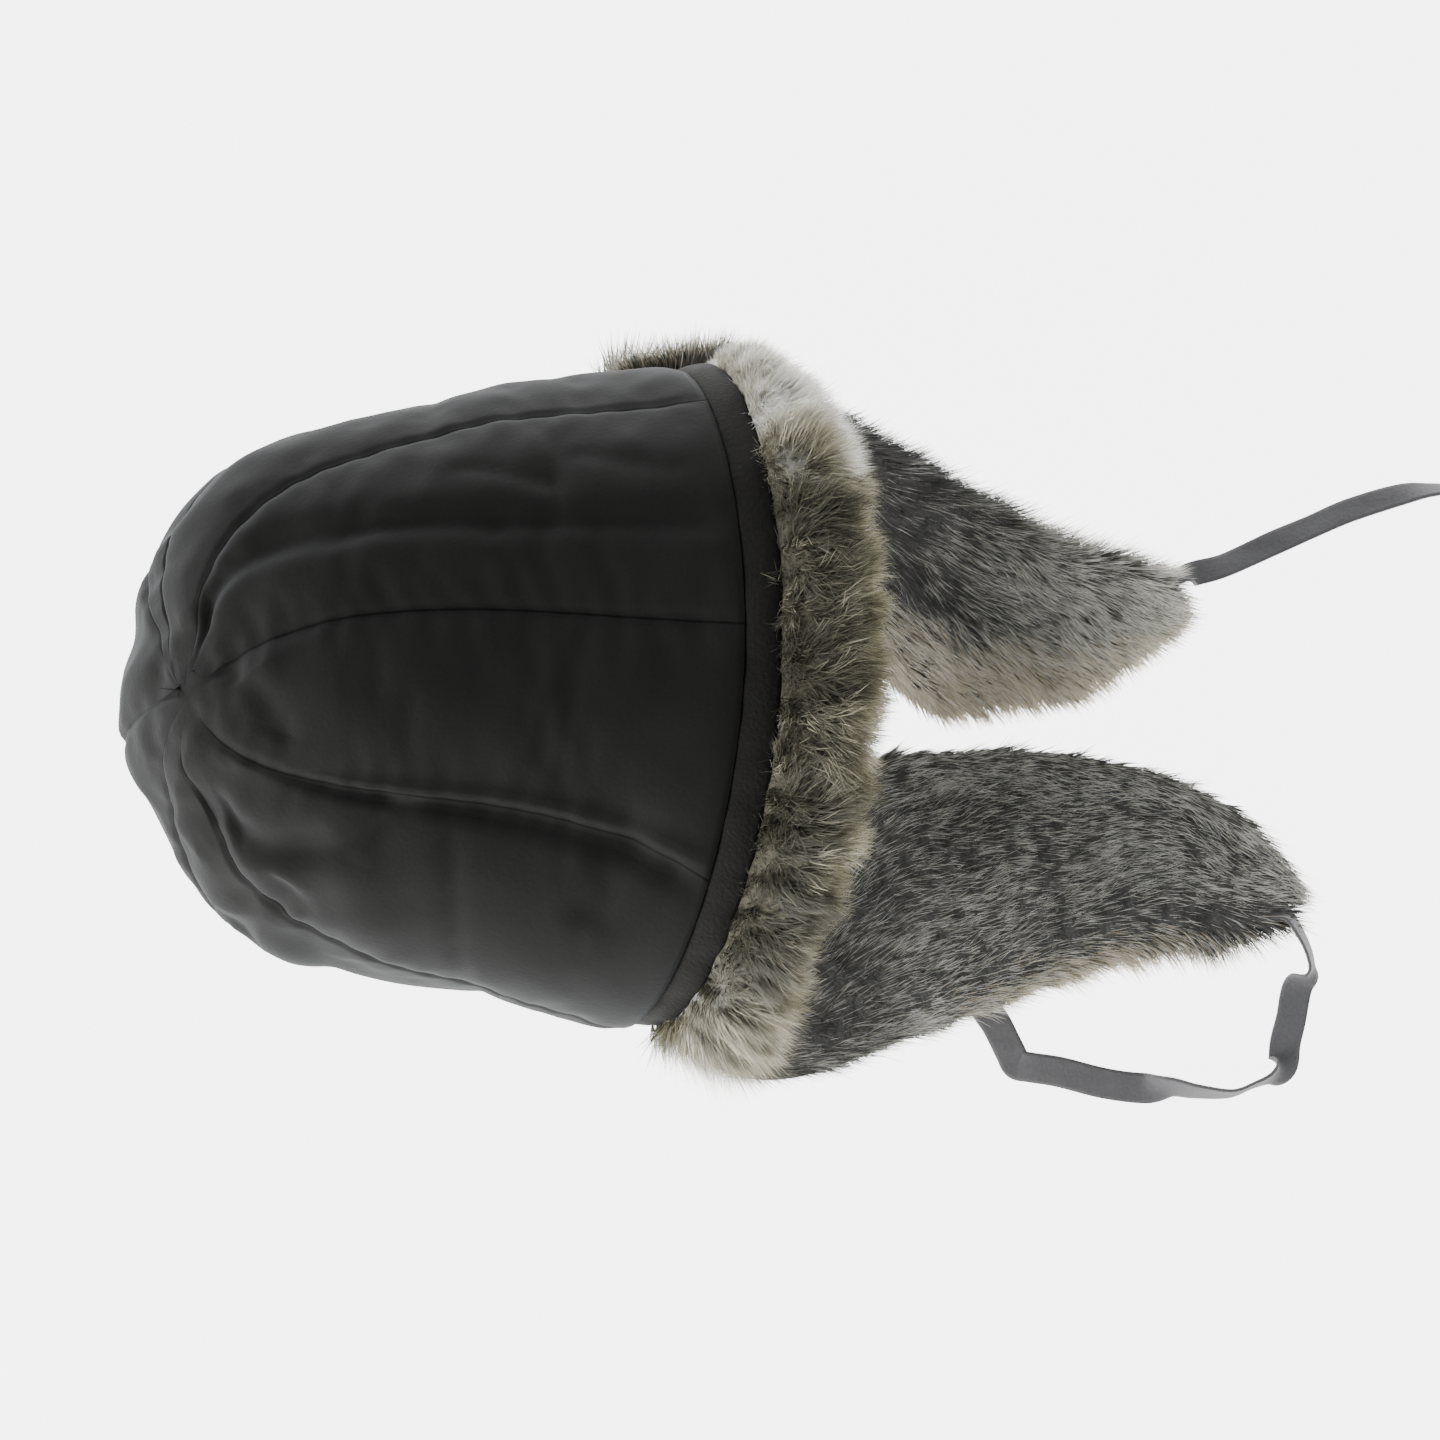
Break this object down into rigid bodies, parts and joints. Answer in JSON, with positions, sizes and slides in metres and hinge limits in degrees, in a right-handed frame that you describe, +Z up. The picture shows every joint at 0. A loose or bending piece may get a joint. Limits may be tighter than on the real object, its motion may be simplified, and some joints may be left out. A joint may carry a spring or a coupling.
{
  "type": "ushanka",
  "caption": "Trapper-style ushanka with a padded cloth crown, deep fur at the nape and on the open ear flaps, and flat cloth ties, lying on its turned-up front flap.",
  "frame": {"origin": "on the table, on the flat underside of the turned-up front flap that the hat rests on", "axes": "+X from the top of the crown towards the tips of the ear flaps, +Y to the wearer's right, +Z up, towards the nape"},
  "size_m": [0.4929, 0.2623, 0.2304],
  "materials": {
    "shell_cloth": "smooth dark grey nylon with a soft sheen",
    "binding_cloth": "matt black cloth strip",
    "light_fur": "long beige fur with grey roots and light tips",
    "grey_fur": "long dark grey fur with light tips",
    "tie_cloth": "flat dark grey cloth strip"
  },
  "bodies": {
    "root": {"crown": "shell_cloth", "rim_binding": "binding_cloth", "nape_fur": "light_fur", "front_flap": "shell_cloth", "front_flap_fur": "light_fur", "right_flap": "shell_cloth", "right_flap_fur": "grey_fur", "left_flap": "shell_cloth", "left_flap_fur": "grey_fur", "right_tie": "tie_cloth", "left_tie": "tie_cloth"}
  },
  "joints": []
}
